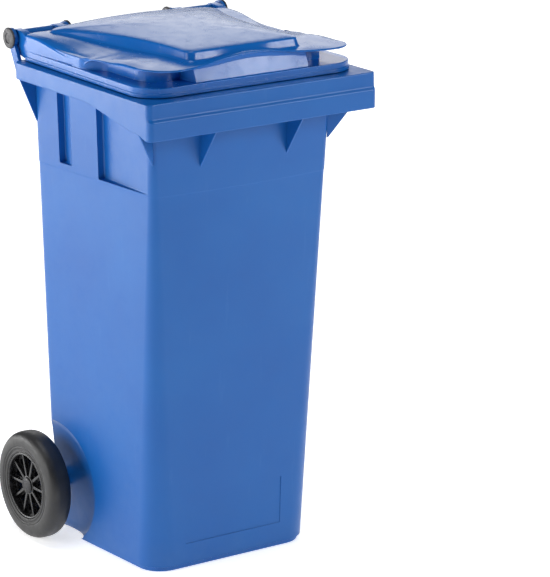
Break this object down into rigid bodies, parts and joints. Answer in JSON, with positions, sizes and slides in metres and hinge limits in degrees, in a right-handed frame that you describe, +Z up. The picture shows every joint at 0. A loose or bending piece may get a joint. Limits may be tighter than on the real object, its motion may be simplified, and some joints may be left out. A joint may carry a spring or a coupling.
{
  "type": "two-wheel refuse bin",
  "caption": "Two-wheel plastic refuse bin with a tapered container, comb rim, hinged raised lid, rear handle bars and spoked wheels on a steel axle.",
  "frame": {"origin": "centre of the bin's box on the floor, between the wheels and the front", "axes": "+Z up, front towards -Y, +X to the right as seen from the front"},
  "size_m": [0.506, 0.5164, 0.964],
  "materials": {
    "container_plastic": "smooth moulded polyethylene with a soft sheen",
    "lid_plastic": "glossy moulded polyethylene",
    "pin_plastic": "matt black moulded pins",
    "axle_steel": "zinc-plated bar",
    "washer_steel": "zinc-plated",
    "rim_plastic": "black moulded rim",
    "tyre_rubber": "solid rubber, slightly dusty sidewall",
    "cap_steel": "dull push-on cap"
  },
  "bodies": {
    "container": {"body": "container_plastic", "hinge_pin_outer_left": "pin_plastic", "hinge_pin_outer_right": "pin_plastic", "hinge_pin_inner_left": "pin_plastic", "hinge_pin_inner_right": "pin_plastic", "axle": "axle_steel", "washer_left": "washer_steel", "washer_right": "washer_steel", "axle_cap_left": "cap_steel", "axle_cap_right": "cap_steel"},
    "lid": {"lid": "lid_plastic"},
    "wheel_left": {"rim_left": "rim_plastic", "tyre_left": "tyre_rubber"},
    "wheel_right": {"rim_right": "rim_plastic", "tyre_right": "tyre_rubber"}
  },
  "joints": [
    {"name": "lid_hinge", "type": "hinge", "parent": "container", "child": "lid", "pos_m": [0, 0.21525, 0.926], "axis": [-1, 0, 0], "range_deg": [0, 255]},
    {"name": "wheel_left_spin", "type": "hinge", "parent": "container", "child": "wheel_left", "pos_m": [-0.229, 0.15825, 0.1], "axis": [1, 0, 0], "continuous": true},
    {"name": "wheel_right_spin", "type": "hinge", "parent": "container", "child": "wheel_right", "pos_m": [0.229, 0.15825, 0.1], "axis": [1, 0, 0], "continuous": true}
  ]
}
